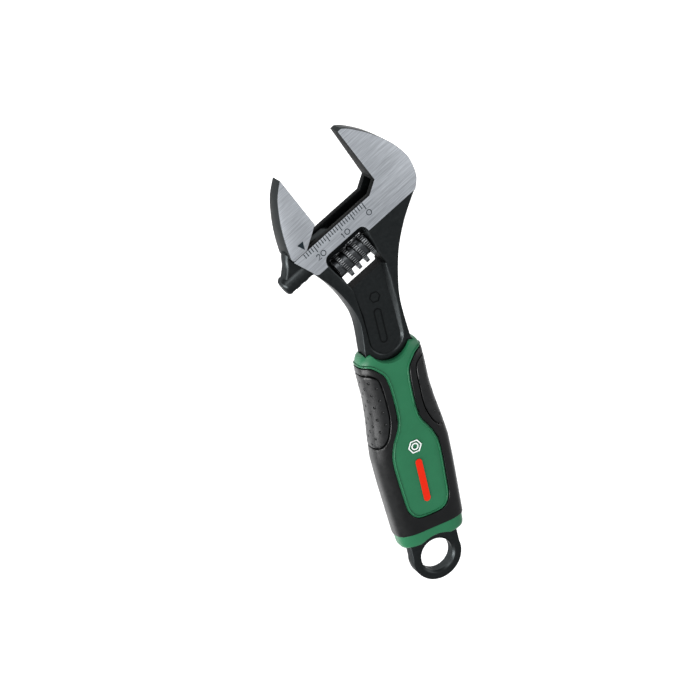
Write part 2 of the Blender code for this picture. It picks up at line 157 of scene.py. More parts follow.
TICK_FOOT = -1.85
FIFTH_TICK_FOOT = -2.75
NUMBER_LINE = -4.25
DIGIT_WIDTH = 0.26
DIGIT_SIZE = 1.12
EMBLEM_PLACE = (-0.22, 42.7)
BAR_PLACE = (-0.2, 22.4, 38.0)
BAR_HALF_WIDTH = 1.15
NECK_EMBLEM_PLACE = (-0.33, 95.0)
NECK_BAR_PLACE = (-0.6, 79.2, 91.2)
NECK_BAR_HALF = 1.35
NECK_NUT = 2.0
NECK_LINE = 0.4
NECK_RELIEF = 0.12

# Looks and studio
GRAIN_RANGE = (0.3, 0.7)
DULL_RIM = (0.5, 0.5, 0.5, 1)
CAMERA_PLACE = (-0.19677, 0.28911, 0.55628)
CAMERA_TURN = (-18.391, -23.612, -14.006)
CAMERA_LENS = 103.28
SKY_COLOUR = (0.97, 0.985, 1.0, 1)
SKY_STRENGTH = 0.47
LIGHT_TARGET = (0, 0.03, 0)
FLOOR_HALF = 3.0
FLOOR_DROP = 0.2
FLOOR_GLOW = 0.4


# The two frames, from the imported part

def joint(name):
    return next(j for j in frame["joints"] if j["name"] == name)


def handle_frame():
    low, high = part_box("body")
    return Matrix.Translation((0, low.y / MM + RING_RADIUS, (low.z + high.z) / 2 / MM))


def head_frame():
    spin = joint("worm_spin")
    turn = math.atan2(spin["axis"][1], spin["axis"][0])
    middle = (-(WINDOW[0] + WINDOW[1]) / 2, -WORM_AXIS, 0)
    worm_middle = Matrix.Translation(Vector(spin["pos_m"]) / MM)
    return worm_middle @ Matrix.Rotation(turn, 4, "Z") @ Matrix.Translation(middle)


HANDLE = handle_frame()
HEAD = head_frame()
WORM = HEAD @ Matrix.Translation((0, WORM_AXIS, 0))
HEAD_TURN = HEAD.to_euler().z
MIDDLE = HANDLE.translation.z


# Outlines

def smooth(points, steps=8):
    """Points along a Catmull-Rom curve through the given ones."""
    ends = [points[0], *points, points[-1]]
    curve = []
    for before, start, end, after in zip(ends, ends[1:], ends[2:], ends[3:]):
        before, start, end, after = map(Vector, (before, start, end, after))
        for step in range(steps):
            t = step / steps
            pull = 2 * before - 5 * start + 4 * end - after
            twist = 3 * (start - end) + after - before
            curve.append(tuple(start + (end - before + pull * t + twist * t * t) * t / 2))
    return curve + [tuple(points[-1])]


def arc(centre, radius, start, end, steps):
    """Points on a circle from one angle in degrees to another."""
    turns = [math.radians(start + (end - start) * step / steps) for step in range(steps + 1)]
    return [(centre[0] + radius * math.cos(t), centre[1] + radius * math.sin(t)) for t in turns]


def circle(centre, radius, steps):
    return arc(centre, radius, 0, 360, steps)[:-1]


def mirrored(points):
    return [(-x, y) for x, y in reversed(points)]


def grown(outline, distance):
    """The outline moved outwards by a distance, corner by corner."""
    corners = [Vector(p) for p in outline]
    area = sum(a.x * b.y - b.x * a.y for a, b in zip(corners, corners[1:] + corners[:1]))
    outward = distance if area > 0 else -distance
    moved = []
    for before, here, after in zip(corners[-1:] + corners[:-1], corners, corners[1:] + corners[:1]):
        first, second = (here - before).normalized(), (after - here).normalized()
        normal = Vector((first.y + second.y, -first.x - second.x)).normalized()
        moved.append(tuple(here + normal * outward / max(0.5, normal.dot(Vector((first.y, -first.x))))))
    return moved


def stroke(path, width):
    """Outline of a line of even width along an open path."""
    points = [Vector(p) for p in path]
    sides = ([], [])
    for i, here in enumerate(points):
        along_path = (points[min(i + 1, len(points) - 1)] - points[max(i - 1, 0)]).normalized()
        across = Vector((-along_path.y, along_path.x)) * width / 2
        sides[0].append(tuple(here + across))
        sides[1].append(tuple(here - across))
    return sides[0] + sides[1][::-1]


def from_head(x, y):
    """A point of the head frame, in the handle frame."""
    return tuple((HANDLE.inverted() @ HEAD @ Vector((x, y, 0))).xy)


def along(table, place):
    """Value at a place in a table of (place, value), straight between entries and level past the ends."""
    for (low, first), (high, second) in zip(table, table[1:]):
        if place <= high:
            share = max(0.0, (place - low) / (high - low))
            return first + (second - first) * share
    return table[-1][1]


# Making solids. They stay in millimetres, in the row's axes, until they are finished

def solid(name, bm, place):
    bmesh.ops.remove_doubles(bm, verts=bm.verts, dist=1e-4)
    bmesh.ops.recalc_face_normals(bm, faces=bm.faces)
    bmesh.ops.transform(bm, matrix=place, verts=bm.verts)
    mesh = bpy.data.meshes.new(name)
    bm.to_mesh(mesh)
    bm.free()
    obj = bpy.data.objects.new(name, mesh)
    bpy.context.scene.collection.objects.link(obj)
    return obj


def loft(name, place, sections, closed=False):
    """A solid through rings of points with one count, capped at both ends or closed into a ring."""
    bm = bmesh.new()
    rings = [[bm.verts.new(point) for point in ring] for ring in sections]
    for lower, upper in zip(rings, rings[1:] + rings[:1] if closed else rings[1:]):
        for i in range(len(lower)):
            j = (i + 1) % len(lower)
            bm.faces.new((lower[i], lower[j], upper[j], upper[i]))
    if not closed:
        bm.faces.new(rings[0])
        bm.faces.new(rings[-1])
    return solid(name, bm, place)


def plate(name, outline, place, low, high):
    return loft(name, place, [[(x, y, z) for x, y in outline] for z in (low, high)])


def rounded_plate(name, outline, place, half, rounding, steps=5):
    """A plate with a round rim, whose outline moves inwards towards both faces."""
    rings = []
    for side in (-1, 1):
        for step in range(steps + 1):
            turn = math.radians(90 * (steps - step if side < 0 else step) / steps)
            height = side * (half - rounding + rounding * math.sin(turn))
            rings.append([(x, y, height) for x, y in grown(outline, -rounding * (1 - math.cos(turn)))])
    return loft(name, place, rings)


def ring_plate(name, outer, inner, place, low, high):
    """A flat frame between two outlines with the same count of points."""
    loops = ((outer, low), (outer, high), (inner, high), (inner, low))
    return loft(name, place, [[(x, y, z) for x, y in outline] for outline, z in loops], closed=True)


def box(name, place, xs, ys, zs):
    outline = [(xs[0], ys[0]), (xs[1], ys[0]), (xs[1], ys[1]), (xs[0], ys[1])]
    return plate(name, outline, place, *zs)


def rod(name, place, profile, segments):
    """A solid turned about x, from a profile of (x, radius)."""
    rings = [[(x, y, z) for y, z in circle((0, 0), radius, segments)] for x, radius in profile]
    return loft(name, place, rings)


def settle(obj):
    """Applies the object's modifiers."""
    bpy.context.view_layer.update()
    made = bpy.data.meshes.new_from_object(obj.evaluated_get(bpy.context.evaluated_depsgraph_get()))
    obj.modifiers.clear()
    old, obj.data = obj.data, made
    bpy.data.meshes.remove(old)
    return obj


def combine(target, operation, *others):
    """Joins or cuts target with each helper, and removes the helpers."""
    for other in others:
        modifier = target.modifiers.new(other.name, "BOOLEAN")
        modifier.operation = operation
        modifier.object = other
    settle(target)
    for other in others:
        bpy.data.objects.remove(other)
    return target


def shape_thickness(obj, place, stations, full):
    """Scales a plate's height so that its half thickness follows a table of (y, half thickness)."""
    bm = bmesh.new()
    bm.from_mesh(obj.data)
    bmesh.ops.transform(bm, matrix=place.inverted(), verts=bm.verts)
    for y, _ in stations:
        geometry = bm.verts[:] + bm.edges[:] + bm.faces[:]
        bmesh.ops.bisect_plane(bm, geom=geometry, plane_co=(0, y, 0), plane_no=(0, 1, 0))
    for vertex in bm.verts:
        vertex.co.z *= along(stations, vertex.co.y) / full
    bmesh.ops.transform(bm, matrix=place, verts=bm.verts)
    bm.to_mesh(obj.data)
    bm.free()
    return obj


def soften(obj, width, rule):
    """Rounds the sharp outer edges.

    The rule gives an edge's share of the width, from its middle and its faces' normals.
    """
    bm = bmesh.new()
    bm.from_mesh(obj.data)
    weights = bm.edges.layers.float.new("bevel_weight_edge")
    for edge in bm.edges:
        if len(edge.link_faces) == 2 and edge.is_convex and edge.calc_face_angle() > SHARP:
            middle = (edge.verts[0].co + edge.verts[1].co) / 2
            edge[weights] = rule(middle, *(face.normal for face in edge.link_faces))
    bm.to_mesh(obj.data)
    bm.free()
    modifier = obj.modifiers.new("rounding", "BEVEL")
    modifier.limit_method = "WEIGHT"
    modifier.width = width
    modifier.segments = 3
    modifier.use_clamp_overlap = False
    modifier.miter_outer = "MITER_ARC"
    return settle(obj)


def finish(obj, body, materials, pick=None, stands_for=()):
    """Turns a piece into metres, gives each face its material, and lets it ride on its body."""
    for material in materials:
        obj.data.materials.append(material)
    for face in obj.data.polygons:
        face.material_index = pick(face.center, face.normal) if pick else 0
    obj.data.transform(Matrix.Scale(MM, 4))
    obj.data.shade_smooth()
    obj.data.set_sharp_from_angle(angle=SHARP)
    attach(obj, body)
    if stands_for:
        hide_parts(*stands_for)
    return obj


# Body

def head_outline():
    """Fixed jaw, throat floor and head down to the lower edge of the ground face."""
    jaw_back = [(9.0, JAW_TIP), (11.2, 20.15), (15.2, 14.85), (18.5, 8.5), (20.15, 2.5), (20.05, -1.5),
                (18.8, -5.9), (16.1, GROUND_EDGE)]
    heel = [(-23.9, GROUND_EDGE), (-24.8, -8.4), (-25.45, -6.7)]
    throat = [(HEAD_LEFT, 0), (3.3, 0), (FIXED_FACE, JAW_TAPER[0][0]), (FIXED_FACE, JAW_TIP)]
    return [*throat, *smooth(jaw_back), *smooth(heel, 4)]


def strap_outline():
    """Hanging ring, strap inside the grip, neck, and the part of the head below the ground face."""
    neck_right = [(8.25, 77), (7.35, 90), (8.0, 97.9), (10.3, 107.6), (14.4, 116.5), (20.0, 124.9)]
    neck_left = [(-19.2, 111.1), (-13.2, 103.3), (-9.4, 95.9), (-7.55, 88.5), (-8.35, 77)]
    right = [(8.65, 11), (7.4, 13), (7.4, 71.5), (8.35, 75)]
    ring = arc((0, 0), RING_RADIUS, 168, 372, 72)
    under_face = [from_head(15.3, FACE_FOOT), from_head(-24.2, FACE_FOOT)]
    return ring + right + smooth(neck_right) + under_face + smooth(neck_left) + mirrored(right)


def strap(name, clearance=0.0):
    outline = grown(strap_outline(), clearance) if clearance else strap_outline()
    made = plate(name, outline, HANDLE, -NECK_HALF, NECK_HALF)
    stations = [(y, half + clearance) for y, half in THICKNESS_STATIONS]
    return shape_thickness(made, HANDLE, stations, NECK_HALF)


def pocket(name, side):
    """The sunk panel of the neck, whose walls lean outwards."""
    left, right, low = WINDOW
    floor = [(4.7, 97), (5.1, 90), *arc((0, POCKET_CENTRE), 5.3, 0, -180, 32), (-5.4, 90)]
    rim = grown(floor, 1.8)
    floor += [from_head(left + 0.6, low + 1), from_head(right - 0.6, low + 1)]
    rim[0] = (6.1, 97)
    rim[-1] = (-7.0, 90)
    rim += [from_head(left + 0.02, low + 1), from_head(right - 0.02, low + 1)]
    return loft(name, HANDLE, [[(x, y, side * POCKET_FLOOR) for x, y in floor],
                               [(x, y, side * (POCKET_FLOOR + POCKET_HEIGHT)) for x, y in rim]])


def scoop(name, side):
    """The hollow above and beside the window that lets a thumb reach the worm.

    Its wall leans from a small outline inside to a large one, and goes on a little past the face.
    """
    left, right, low = WINDOW
    low += 0.4
    outer_left = [(left - 1.6, -8.6), (left - 1.3, -7.2), (left - 0.3, -6.2), (left + 1.0, -5.9)]
    outer_right = [(right - 0.9, -5.9), (right + 0.3, -6.2), (right + 1.1, -7.2), (right + 1.4, -8.6)]
    outer = [(left + 0.1, low), *smooth(outer_left, 3), *smooth(outer_right, 3), (right - 0.1, low)]
    inner_left = [(left + 0.1, -9.5), (left + 0.12, -9.1), (left + 0.3, -8.8), (left + 0.7, -8.7)]
    inner_right = [(right - 0.7, -8.7), (right - 0.3, -8.8), (right - 0.12, -9.1), (right - 0.1, -9.5)]
    inner = [(left + 0.2, low), *smooth(inner_left, 3), *smooth(inner_right, 3), (right - 0.2, low)]
    pairs = [(Vector(top), Vector(foot)) for top, foot in zip(outer, inner)]
    past = [tuple(top + PAST_SHARE * (top - foot)) for top, foot in pairs]
    return loft(name, HEAD, [[(x, y, side * 2.5) for x, y in inner],
                             [(x, y, side * (HEAD_HALF + 0.1)) for x, y in past]])


def slot_outline():
    """Side view of the slot that guides the web of the movable jaw."""
    floor = [(BORE_END - 0.4, RACK_AXIS), (12.2, -2.5), (10.2, 0.6), (7.3, 2.65), (3.0, 6)]
    return [(-40, RACK_AXIS), *floor, (-40, 6)]


def hanging_hole():
    mouth = HOLE_RADIUS + HOLE_CHAMFER + 0.5
    level = STRAP_HALF - HOLE_CHAMFER
    profile = [(mouth, STRAP_HALF + 0.5), (HOLE_RADIUS, level), (HOLE_RADIUS, -level),
               (mouth, -STRAP_HALF - 0.5)]
    rings = [[(x, y, height) for x, y in circle((0, 0), radius, 96)] for radius, height in profile]
    return loft("hanging_hole", HANDLE, rings)


def jaw_half(point):
    """Half thickness of the head at a point of the row."""
    return along(JAW_TAPER, (HEAD.inverted() @ point).y)


def on_ground_face(point, normal):
    level = abs(point.z - MIDDLE) > jaw_half(point) - NEAR
    return int(abs(normal.z) > FLAT and level and (HEAD.inverted() @ point).y > GROUND_EDGE)


def body_finish_and_shade(point, normal):
    """Ground on the faces of the head, a matt near-black painted shade inside the throat, the window and the
    bores, black elsewhere.
    """
    if on_ground_face(point, normal):
        return 1
    local = HEAD.inverted() @ point
    left, right, low = WINDOW
    in_throat = local.y > -0.05 and local.x < FIXED_FACE + 0.1
    in_window = low - 0.3 < local.y < 0 and left - 0.1 < local.x < right + 0.1
    # Walls in the throat and the window, and the rack's bore, get the painted shade
    shaded_wall = abs(normal.z) < UPRIGHT and (in_throat or in_window)
    rack_room = local.y > RACK_AXIS - RACK_RADIUS - 0.1 and in_bore(local)
    return 2 if shaded_wall or rack_room else 0


def in_bore(local):
    return math.hypot(local.y - RACK_AXIS, local.z) < RACK_RADIUS + GAP + 0.05


def outer_edge(point, first, second):
    """Narrow rounding on the ground head, wide on the forged neck and ring, and none inside."""
    if max(abs(first.z), abs(second.z)) < FACING or abs(point.z - MIDDLE) < POCKET_FLOOR - NEAR:
        return 0.0
    if (HEAD.inverted() @ point).y > GROUND_EDGE - 0.01:
        return GROUND_ROUNDING / FORGED_ROUNDING
    return 1.0


def round_tunnel(name, radius, xs, place, segments):
    return rod(name, place, ((xs[0], radius), (xs[1], radius)), segments)


def make_body():
    head = plate("ground_head", head_outline(), HEAD, -HEAD_HALF, HEAD_HALF)
    shape_thickness(head, HEAD, JAW_TAPER, HEAD_HALF)
    body = combine(strap("wrench_body"), "UNION", head)
    left, right, low = WINDOW
    rack_line = HEAD @ Matrix.Translation((0, RACK_AXIS, 0))
    combine(
        body, "DIFFERENCE",
        box("window", HEAD, (left, right), (low, -9.3), (-REACH, REACH)),
        scoop("front_scoop", 1),
        scoop("back_scoop", -1),
        pocket("front_pocket", 1),
        pocket("back_pocket", -1),
        round_tunnel("rack_bore", RACK_RADIUS + GAP, (-40, BORE_END), rack_line, 64),
        plate("web_slot", slot_outline(), HEAD, -WEB_HALF - GAP, WEB_HALF + GAP),
        round_tunnel("worm_room", WORM_RADIUS + GAP, (left + 0.001, right - 0.001), WORM, 96),
        round_tunnel("pin_hole", PIN_RADIUS + GAP, (PIN_ENDS[0] - GAP, 5), WORM, 32),
        round_tunnel("pin_head_hole", PIN_HEAD_RADIUS + GAP, (PIN_ENDS[1] - GAP, 14), WORM, 32),
        hanging_hole(),
    )
    soften(body, FORGED_ROUNDING, outer_edge)
    steels = (BLACK_STEEL, GROUND_STEEL, PAINTED_SHADE_STEEL)
    return finish(body, "frame", steels, body_finish_and_shade, ["body"])


# Movable jaw

def make_movable_jaw():
    """Jaw plate, web and round rack in one forging."""
    back = [(MOVING_FACE - 0.4, 22.3), (-19.84, 18.5), (-23.1, 13.35), (-25.85, 7.6), (-27.55, 2.8),
            (-28.0, 1.4), (-27.9, 0.5), (-27.4, JAW_CLEARANCE)]
    outline = [(-22.3, JAW_CLEARANCE), (MOVING_FACE, 4.7), (MOVING_FACE, 22.4), *smooth(back)]
    jaw = plate("sliding_jaw", outline, HEAD, -HEAD_HALF, HEAD_HALF)
    shape_thickness(jaw, HEAD, JAW_TAPER, HEAD_HALF)
    hook = smooth([(-28.2, 2.6), (-29.35, 1.0), (-30.4, -0.8), (-31.8, -2.3), (-33.1, -3.6), (-34.0, -4.8),
                   (-34.4, RACK_AXIS)], 4)
    root = smooth([(RACK_ENDS[1] - 0.3, RACK_AXIS), (-11.5, -3), (-12.5, -1.1), (-14, WEB_TOP)], 3)
    web = rounded_plate("web", [*hook, *root, (-21.6, WEB_TOP), (-22, 2.6)], HEAD, WEB_HALF, WEB_ROUNDING)
    start, end = RACK_ENDS
    free_end = [(start, RACK_RADIUS - 1.3), (start + 0.2, RACK_RADIUS - 0.7),
                (start + 0.6, RACK_RADIUS - 0.25), (start + 1.2, RACK_RADIUS)]
    rounded = [*free_end, (end - RACK_TIP, RACK_RADIUS), (end - 0.25, RACK_RADIUS - 0.3),
               (end, RACK_RADIUS - RACK_TIP)]
    rack = rod("rack", HEAD @ Matrix.Translation((0, RACK_AXIS, 0)), rounded, 64)
    combine(jaw, "UNION", web, rack)
    combine(jaw, "DIFFERENCE", rack_grooves())
    soften(jaw, FORGED_ROUNDING, jaw_edge)
    return finish(jaw, "jaw", (BLACK_STEEL, GROUND_STEEL), on_ground_face, ["movable_jaw"])


def jaw_edge(point, first, second):
    """Narrow rounding round the ground faces, apart from the edge that slides along the head."""
    low = (HEAD.inverted() @ point).y < JAW_CLEARANCE + 0.2
    if low or max(abs(first.z), abs(second.z)) < FACING or abs(point.z - MIDDLE) < WEB_HALF + 0.1:
        return 0.0
    return GROUND_ROUNDING / FORGED_ROUNDING


def rack_grooves():
    """A slanted groove for each thread turn that can meet the rack, as deep as the worm reaches."""
    bm = bmesh.new()
    slant = math.atan(PITCH / (2 * math.pi * (WORM_RADIUS + WORM_ROOT) / 2))
    for turn in range(-5, 2):
        place = Matrix.Translation((THREAD_PHASE + turn * PITCH, RACK_AXIS - RACK_RADIUS, 0))
        size = Matrix.Diagonal((GROOVE_WIDTH, 2 * RACK_RADIUS, 2 * REACH, 1))
        bmesh.ops.create_cube(bm, size=1, matrix=place @ Matrix.Rotation(slant, 4, "Y") @ size)
    xs = (RACK_ENDS[0] - 1, RACK_ENDS[1] + 1)
    reach = round_tunnel("worm_reach", WORM_RADIUS + JAW_CLEARANCE, xs, WORM, 96)
    return combine(solid("rack_grooves", bm, HEAD), "INTERSECT", reach)


# Worm

def make_worm():
    """Threaded roller, with a knurled crest on its thread."""
    start, end = WINDOW[0] + GAP, WINDOW[1] - GAP
    core = round_tunnel("knurled_worm", WORM_ROOT, (start - 1, end + 1), WORM, 56)
    combine(core, "UNION", worm_thread())
    combine(core, "INTERSECT", round_tunnel("worm_blank", WORM_RADIUS + 0.5, (start, end), WORM, 12))
    combine(core, "DIFFERENCE", round_tunnel("worm_hole", PIN_RADIUS + GAP, (-30, 0), WORM, 32),
            round_tunnel("spring_hole", SPRING_HOLE, (end - SPRING_DEPTH, 0), WORM, 40))
    return finish(core, "worm", (WORM_STEEL, CREST_HIGHLIGHT_STEEL), on_crest, ["worm_screw"])


def worm_thread():
    """The ridge of the worm, with teeth across its crest."""
    half = CREST_WIDTH / 2
    right = [(half + 0.28, WORM_ROOT - 0.3), (half, WORM_RADIUS - KNURL_DEPTH - 0.05),
             (half - 0.08, WORM_RADIUS), (0.2, WORM_RADIUS)]
    profile = [(-x, radius) for x, radius in right] + right[::-1]
    first, last = (THREAD_PHASE + turns * PITCH for turns in THREAD_RUN)
    per_turn = 4 * KNURLS
    count = round((THREAD_RUN[1] - THREAD_RUN[0]) * per_turn)
    rings = []
    for step in range(count + 1):
        x = first + (last - first) * step / count
        turn = 2 * math.pi * (x - THREAD_PHASE) / PITCH
        crest = WORM_RADIUS - KNURL_DEPTH if step % 4 < 2 else WORM_RADIUS
        ring = [(x + shift, min(radius, crest)) for shift, radius in profile]
        rings.append([(place, radius * math.cos(turn), radius * math.sin(turn)) for place, radius in ring])
    return loft("worm_thread", WORM, rings)


def on_crest(point, _):
    """Whether a face of the worm is on top of a tooth, which gets the lighter steel of a painted highlight.
    """
    local = WORM.inverted() @ point
    return int(math.hypot(local.y, local.z) > WORM_RADIUS - NEAR)


# Grip

def grip_section(y, inset, sides):
    """Points of the grip's section at a place on the handle."""
    width = along(GRIP_SIDES, y) - inset
    crown = along(GRIP_DEPTHS, y) - inset
    flat = min(GRIP_HALF_DEPTH, along(GRIP_DEPTHS, y)) - inset
    section = []
    for side in range(sides):
        turn = 2 * math.pi * (side + 0.5) / sides
        c, s = math.cos(turn), math.sin(turn)
        x = math.copysign(width * abs(c) ** (2 / GRIP_SQUARENESS), c)
        z = math.copysign(min(crown * abs(s) ** (2 / GRIP_SQUARENESS), flat), s)
        section.append((x, y, z))
    return section


def grip_envelope(name, inset=0.0, sides=96):
    """The outer shape of the grip, or that shape with its surface moved inwards."""
    low, high = ROUND_ENDS
    ends = [y for y, _ in GRIP_SIDES if y < low or y > high]
    steps = 33
    between = [low + (high - low) * step / steps for step in range(steps + 1)]
    return loft(name, HANDLE, [grip_section(y, inset, sides) for y in sorted([*ends, *between])])


def through(name, outline, clearance=0.0):
    """A cutter right through the grip, grown by a clearance."""
    return plate(name, grown(outline, clearance) if clearance else outline, HANDLE, -REACH, REACH)


def collar_panel_outline():
    side = smooth(COLLAR_PANEL_SIDE, 10)
    return [(OUTSIDE, 85), *side, *mirrored(side)[1:], (-OUTSIDE, 85)]


def band_outline():
    return [(-OUTSIDE, BAND_TOP), (-OUTSIDE, 0), (OUTSIDE, 0), (OUTSIDE, BAND_TOP)]


def pad_outline(side):
    return [(side * x, y) for x, y in smooth(PAD_SIDE, 8)]


def grip_sleeve(name, inset):
    """The inner shape of the grip, a little shorter than its outside."""
    length = box(name + "_length", HANDLE, (-OUTSIDE, OUTSIDE), (10, 75), (-REACH, REACH))
    return combine(grip_envelope(name, inset, 48), "INTERSECT", length)


def lip_groove():
    """The narrow groove that follows the edge of the collar and the panels."""
    outline = collar_panel_outline()
    outer, inner = grown(outline, -LIP_WIDTH), grown(outline, -LIP_WIDTH - LIP_GROOVE)
    groove = ring_plate("lip_groove", outer, inner, HANDLE, -REACH, REACH)
    return combine(groove, "DIFFERENCE", grip_envelope("lip_groove_floor", LIP_DEPTH))


def moulded_edge(point, first, second):
    """Rounds each edge between an upright wall and the outside of the grip, apart from its very sides."""
    local = HANDLE.inverted() @ point
    near_face = abs(local.z) > along(GRIP_DEPTHS, local.y) - 1.6
    near_side = abs(local.x) > along(GRIP_SIDES, local.y) - 1.2
    outside = (near_face or near_side) and abs(local.z) > SIDE_BAND
    walls = (abs(first.z) < WALL) + (abs(second.z) < WALL)
    return 1.0 if outside and walls == 1 else 0.0


def scallop():
    """Round cut in the collar for the foot of the neck, whose rim slopes outwards on both faces."""
    heights = (-REACH, -GRIP_HALF_DEPTH, -SCALLOP_FOOT, SCALLOP_FOOT, GRIP_HALF_DEPTH, REACH)
    growth = (SCALLOP_SLOPE, SCALLOP_SLOPE, 0, 0, SCALLOP_SLOPE, SCALLOP_SLOPE)
    rings = [[(x, y, height) for x, y in circle((0, POCKET_CENTRE), SCALLOP_RADIUS + more, 96)]
             for height, more in zip(heights, growth)]
    return loft("collar_scallop", HANDLE, rings)


def make_grip_core():
    """Hard moulding on the strap: collar, both panels, band round the ring end, and the sleeve inside."""
    core = grip_envelope("green_grip_core")
    coloured = through("collar_and_panels", collar_panel_outline())
    combine(coloured, "UNION", through("ring_band", band_outline()))
    combine(core, "INTERSECT", coloured)
    combine(core, "UNION", grip_sleeve("core_sleeve", SLEEVE_INSET))
    ring_room = through("ring_room", circle((0, 0), RING_RADIUS + RING_CLEARANCE, 96))
    combine(core, "DIFFERENCE", strap("strap_room", GAP), ring_room, scallop(), lip_groove())
    soften(core, CORE_ROUNDING, moulded_edge)
    return finish(core, "frame", (GREEN_PLASTIC,), stands_for=["grip_core"])


def make_overmould():
    """Soft rubber skin round the sides of the core, with a recess for each pad."""
    skin = grip_envelope("rubber_overmould")
    cutters = [grip_sleeve("skin_room", SLEEVE_INSET - GAP),
               through("collar_and_panels_room", collar_panel_outline(), GAP / 2),
               through("ring_band_room", band_outline(), GAP / 2)]
    for side, word in ((-1, "left"), (1, "right")):
        recess = through("recess_" + word, pad_outline(side), PAD_GAP)
        cutters.append(combine(recess, "DIFFERENCE", grip_envelope("recess_floor_" + word, PAD_DEPTH + GAP)))
    combine(skin, "DIFFERENCE", *cutters)
    soften(skin, SKIN_ROUNDING, moulded_edge)
    return finish(skin, "frame", (BLACK_RUBBER,), stands_for=["grip_overmould"])


def inside(outline, x, y):
    """Whether a line from the point to its right crosses the outline an odd number of times."""
    crossings = 0
    for (ax, ay), (bx, by) in zip(outline, outline[1:] + outline[:1]):
        if (ay > y) != (by > y) and x < ax + (bx - ax) * (y - ay) / (by - ay):
            crossings += 1
    return crossings % 2 == 1


def pit_places(side):
    """Centres of the pad's pits, in staggered rows over its curved surface."""
    outline = grown(pad_outline(side), -PIT_MARGIN)
    places = []
    for row in range(-1, PIT_ROWS):
        section = grip_section(PIT_TOP_ROW - row * PIT_SPACING / 2, 0.0, FINE_SIDES)
        top, half_way = FINE_SIDES // 4, FINE_SIDES // 2
        round_side = [Vector(section[(top - side * step) % FINE_SIDES]) for step in range(half_way + 1)]
        travelled, wanted = 0.0, PIT_START + (row % 2) * PIT_SPACING / 2
        for here, after in zip(round_side, round_side[1:]):
            travelled += (after - here).length
            if travelled < wanted:
                continue
            wanted += PIT_SPACING
            tangent = (after - here).normalized() * -side
            if inside(outline, here.x, here.y):
                places.append(here + Vector((tangent.z, 0, -tangent.x)) * PIT_LIFT)
    return places


def make_pad(name, side, node):
    """Pitted gripping pad that wraps round one side of the grip."""
    pad = grip_envelope(name)
    combine(pad, "INTERSECT", through(name + "_outline", pad_outline(side)))
    combine(pad, "DIFFERENCE", grip_envelope(name + "_floor", PAD_DEPTH))
    soften(pad, PAD_ROUNDING, moulded_edge)
    bm = bmesh.new()
    for place in pit_places(side):
        bmesh.ops.create_uvsphere(bm, u_segments=14, v_segments=8, radius=PIT_RADIUS,
                                  matrix=Matrix.Translation(place))
    combine(pad, "DIFFERENCE", solid(name + "_pits", bm, HANDLE))
    return finish(pad, "frame", (PAD_RUBBER_WITH_SHEEN,), stands_for=[node])


# Marks

def mark(name, outlines, place, level):
    """Thin solids on a surface at a level, from a list of outlines or of (outer, inner) pairs."""
    low, high = level - MARK_DEPTH, level + MARK_HEIGHT
    pieces = []
    for number, shape in enumerate(outlines):
        if isinstance(shape[0][0], tuple):
            pieces.append(ring_plate(f"{name}_{number}", *shape, place, low, high))
        else:
            pieces.append(plate(f"{name}_{number}", shape, place, low, high))
    first, *rest = pieces
    bm = bmesh.new()
    for piece in pieces:
        bm.from_mesh(piece.data)
    bm.to_mesh(first.data)
    bm.free()
    for piece in rest:
        bpy.data.objects.remove(piece)
    first.name = name
    return first


def ellipse_ring(centre, half_width, half_height, width):
    """Outer and inner outlines of a ring of even width round an ellipse."""
    def loop(extra):
        return [(centre[0] + (half_width + extra) * x, centre[1] + (half_height + extra) * y)
                for x, y in circle((0, 0), 1, 40)]
    return loop(width / 2), loop(-width / 2)


def digit(kind, centre):
    """Outline of the digit 0, 1 or 2, about 1.8 mm high."""
    if kind == "0":
        return ellipse_ring(centre, 0.72 * DIGIT_SIZE, 0.78 * DIGIT_SIZE, DIGIT_WIDTH)
    if kind == "1":
        path = [(-0.3, 0.5), (0.02, 0.8), (0.02, -0.85)]
    else:
        path = [*arc((0, 0.3), 0.5, 160, -40, 16), (-0.55, -0.78), (0.6, -0.78)]
    return stroke([(centre[0] + DIGIT_SIZE * x, centre[1] + DIGIT_SIZE * y) for x, y in path], DIGIT_WIDTH)


def make_scale():
    """Marks 1 mm apart, longer at each fifth, with their numbers."""
    shapes = []
    for tick in range(TICKS):
        foot = FIFTH_TICK_FOOT if tick % 5 == 0 else TICK_FOOT
        left, right = -tick - TICK_WIDTH / 2, -tick + TICK_WIDTH / 2
        shapes.append([(left, TICK_TOP), (right, TICK_TOP), (right, foot), (left, foot)])
    numbers = (("0", 0.1), ("1", -10.75), ("0", -8.95), ("2", -20.75), ("0", -18.85))
    shapes += [digit(kind, (x, NUMBER_LINE)) for kind, x in numbers]
    marks = mark("scale_marks", shapes, HEAD, HEAD_HALF)
    return finish(marks, "frame", (DARK_INK,))


def make_pointer():
    triangle = [(-23.92, 3.37), (-21.7, 3.32), (-22.77, 0.68)]
    pointer = mark("jaw_pointer", [triangle], HEAD, HEAD_HALF)
    return finish(pointer, "jaw", (DARK_INK,))


def hexagon(centre, radius):
    return circle(centre, radius, 6)


def make_emblem():
    """A plain hexagon nut, in outline."""
    outer = (hexagon(EMBLEM_PLACE, 2.45), hexagon(EMBLEM_PLACE, 2.0))
    inner = (circle(EMBLEM_PLACE, 1.25, 36), circle(EMBLEM_PLACE, 0.85, 36))
    nut = mark("nut_emblem", [outer, inner], HANDLE, GRIP_HALF_DEPTH)
    return finish(nut, "frame", (WHITE_INK,))


def round_bar(place, half):
    """Outline of an upright bar with round ends, from its middle x and its ends."""
    x, low, high = place
    return arc((x, low + half), half, 180, 360, 16) + arc((x, high - half), half, 0, 180, 16)


def make_bar():
    bar = mark("panel_bar", [round_bar(BAR_PLACE, BAR_HALF_WIDTH)], HANDLE, GRIP_HALF_DEPTH)
    return finish(bar, "frame", (RED_INK,))


